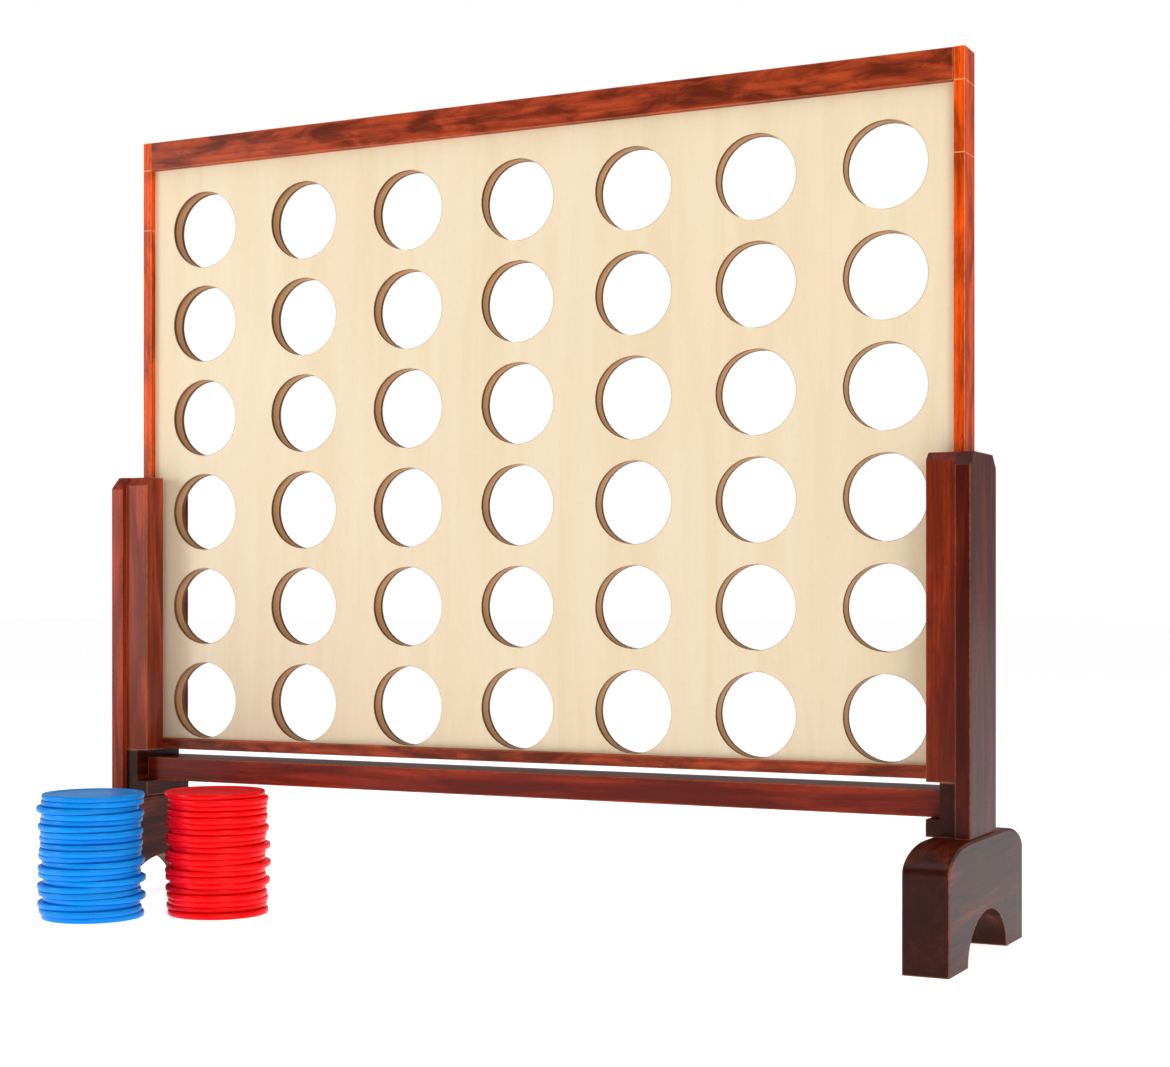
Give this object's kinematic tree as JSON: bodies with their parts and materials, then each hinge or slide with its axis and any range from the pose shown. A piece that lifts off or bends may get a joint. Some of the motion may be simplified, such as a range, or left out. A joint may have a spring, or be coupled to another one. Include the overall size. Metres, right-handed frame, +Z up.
{
  "type": "giant four in a row game",
  "caption": "Standing lawn game: a board of two holed plywood panels that lifts out of two stained-pine legs, with stacks of blue and red plastic discs.",
  "frame": {"origin": "on the ground, under the middle of the box round the whole set (the stand and both stacks of discs)", "axes": "+X along the board, to the right as seen by the player with the disc stacks; +Y from that player to the board; +Z up"},
  "size_m": [1.186, 0.4292, 1.0138],
  "materials": {
    "stained_pine": "pine stained mahogany red-brown under gloss varnish",
    "plain_pine": "planed unstained pine under satin lacquer",
    "lacquered_plywood": "pale birch plywood under satin lacquer, hole edges darkened by the cutter",
    "beech_dowel": "raw beech",
    "zinc_steel": "zinc-plated steel",
    "blue_plastic": "moulded plastic, semi-gloss",
    "red_plastic": "moulded plastic, semi-gloss"
  },
  "bodies": {
    "stand": {"left_foot": "stained_pine", "left_post": "stained_pine", "left_front_guide": "stained_pine", "left_rear_guide": "stained_pine", "left_block": "stained_pine", "left_leg_dowels": "beech_dowel", "left_foot_bolts": "zinc_steel", "left_foot_washers": "zinc_steel", "left_foot_inserts": "zinc_steel", "right_foot": "stained_pine", "right_post": "stained_pine", "right_front_guide": "stained_pine", "right_rear_guide": "stained_pine", "right_block": "stained_pine", "right_leg_dowels": "beech_dowel", "right_foot_bolts": "zinc_steel", "right_foot_washers": "zinc_steel", "right_foot_inserts": "zinc_steel", "shelf": "stained_pine", "shelf_screws": "zinc_steel"},
    "board": {"front_panel": "lacquered_plywood", "rear_panel": "lacquered_plywood", "left_stile": "stained_pine", "right_stile": "stained_pine", "front_top_rail": "stained_pine", "front_bottom_rail": "stained_pine", "rear_top_rail": "stained_pine", "rear_bottom_rail": "stained_pine", "left_edge_strip": "plain_pine", "right_edge_strip": "plain_pine", "stile_dowels": "beech_dowel", "panel_screws": "zinc_steel", "divider_1": "plain_pine", "divider_2": "plain_pine", "divider_3": "plain_pine", "divider_4": "plain_pine", "divider_5": "plain_pine", "divider_6": "plain_pine"},
    "blue_lower_discs": {"blue_lower_discs": "blue_plastic"},
    "blue_disc_12": {"blue_disc_12": "blue_plastic"},
    "blue_disc_13": {"blue_disc_13": "blue_plastic"},
    "blue_disc_14": {"blue_disc_14": "blue_plastic"},
    "blue_disc_15": {"blue_disc_15": "blue_plastic"},
    "blue_disc_16": {"blue_disc_16": "blue_plastic"},
    "blue_disc_17": {"blue_disc_17": "blue_plastic"},
    "blue_disc_18": {"blue_disc_18": "blue_plastic"},
    "blue_disc_19": {"blue_disc_19": "blue_plastic"},
    "blue_disc_20": {"blue_disc_20": "blue_plastic"},
    "blue_disc_21": {"blue_disc_21": "blue_plastic"},
    "red_lower_discs": {"red_lower_discs": "red_plastic"},
    "red_disc_12": {"red_disc_12": "red_plastic"},
    "red_disc_13": {"red_disc_13": "red_plastic"},
    "red_disc_14": {"red_disc_14": "red_plastic"},
    "red_disc_15": {"red_disc_15": "red_plastic"},
    "red_disc_16": {"red_disc_16": "red_plastic"},
    "red_disc_17": {"red_disc_17": "red_plastic"},
    "red_disc_18": {"red_disc_18": "red_plastic"},
    "red_disc_19": {"red_disc_19": "red_plastic"},
    "red_disc_20": {"red_disc_20": "red_plastic"},
    "red_disc_21": {"red_disc_21": "red_plastic"}
  },
  "joints": [
    {"name": "board_lift", "type": "slide", "parent": "stand", "child": "board", "axis": [0, 0, 1], "range_m": [0, 0.4]},
    {"name": "blue_lower_discs_lift", "type": "slide", "parent": "stand", "child": "blue_lower_discs", "axis": [0, 0, 1], "range_m": [0, 0.05]},
    {"name": "blue_disc_12_lift", "type": "slide", "parent": "blue_lower_discs", "child": "blue_disc_12", "axis": [0, 0, 1], "range_m": [0, 0.05]},
    {"name": "blue_disc_13_lift", "type": "slide", "parent": "blue_disc_12", "child": "blue_disc_13", "axis": [0, 0, 1], "range_m": [0, 0.05]},
    {"name": "blue_disc_14_lift", "type": "slide", "parent": "blue_disc_13", "child": "blue_disc_14", "axis": [0, 0, 1], "range_m": [0, 0.05]},
    {"name": "blue_disc_15_lift", "type": "slide", "parent": "blue_disc_14", "child": "blue_disc_15", "axis": [0, 0, 1], "range_m": [0, 0.05]},
    {"name": "blue_disc_16_lift", "type": "slide", "parent": "blue_disc_15", "child": "blue_disc_16", "axis": [0, 0, 1], "range_m": [0, 0.05]},
    {"name": "blue_disc_17_lift", "type": "slide", "parent": "blue_disc_16", "child": "blue_disc_17", "axis": [0, 0, 1], "range_m": [0, 0.05]},
    {"name": "blue_disc_18_lift", "type": "slide", "parent": "blue_disc_17", "child": "blue_disc_18", "axis": [0, 0, 1], "range_m": [0, 0.05]},
    {"name": "blue_disc_19_lift", "type": "slide", "parent": "blue_disc_18", "child": "blue_disc_19", "axis": [0, 0, 1], "range_m": [0, 0.05]},
    {"name": "blue_disc_20_lift", "type": "slide", "parent": "blue_disc_19", "child": "blue_disc_20", "axis": [0, 0, 1], "range_m": [0, 0.05]},
    {"name": "blue_disc_21_lift", "type": "slide", "parent": "blue_disc_20", "child": "blue_disc_21", "axis": [0, 0, 1], "range_m": [0, 0.05]},
    {"name": "red_lower_discs_lift", "type": "slide", "parent": "stand", "child": "red_lower_discs", "axis": [0, 0, 1], "range_m": [0, 0.05]},
    {"name": "red_disc_12_lift", "type": "slide", "parent": "red_lower_discs", "child": "red_disc_12", "axis": [0, 0, 1], "range_m": [0, 0.05]},
    {"name": "red_disc_13_lift", "type": "slide", "parent": "red_disc_12", "child": "red_disc_13", "axis": [0, 0, 1], "range_m": [0, 0.05]},
    {"name": "red_disc_14_lift", "type": "slide", "parent": "red_disc_13", "child": "red_disc_14", "axis": [0, 0, 1], "range_m": [0, 0.05]},
    {"name": "red_disc_15_lift", "type": "slide", "parent": "red_disc_14", "child": "red_disc_15", "axis": [0, 0, 1], "range_m": [0, 0.05]},
    {"name": "red_disc_16_lift", "type": "slide", "parent": "red_disc_15", "child": "red_disc_16", "axis": [0, 0, 1], "range_m": [0, 0.05]},
    {"name": "red_disc_17_lift", "type": "slide", "parent": "red_disc_16", "child": "red_disc_17", "axis": [0, 0, 1], "range_m": [0, 0.05]},
    {"name": "red_disc_18_lift", "type": "slide", "parent": "red_disc_17", "child": "red_disc_18", "axis": [0, 0, 1], "range_m": [0, 0.05]},
    {"name": "red_disc_19_lift", "type": "slide", "parent": "red_disc_18", "child": "red_disc_19", "axis": [0, 0, 1], "range_m": [0, 0.05]},
    {"name": "red_disc_20_lift", "type": "slide", "parent": "red_disc_19", "child": "red_disc_20", "axis": [0, 0, 1], "range_m": [0, 0.05]},
    {"name": "red_disc_21_lift", "type": "slide", "parent": "red_disc_20", "child": "red_disc_21", "axis": [0, 0, 1], "range_m": [0, 0.05]}
  ]
}
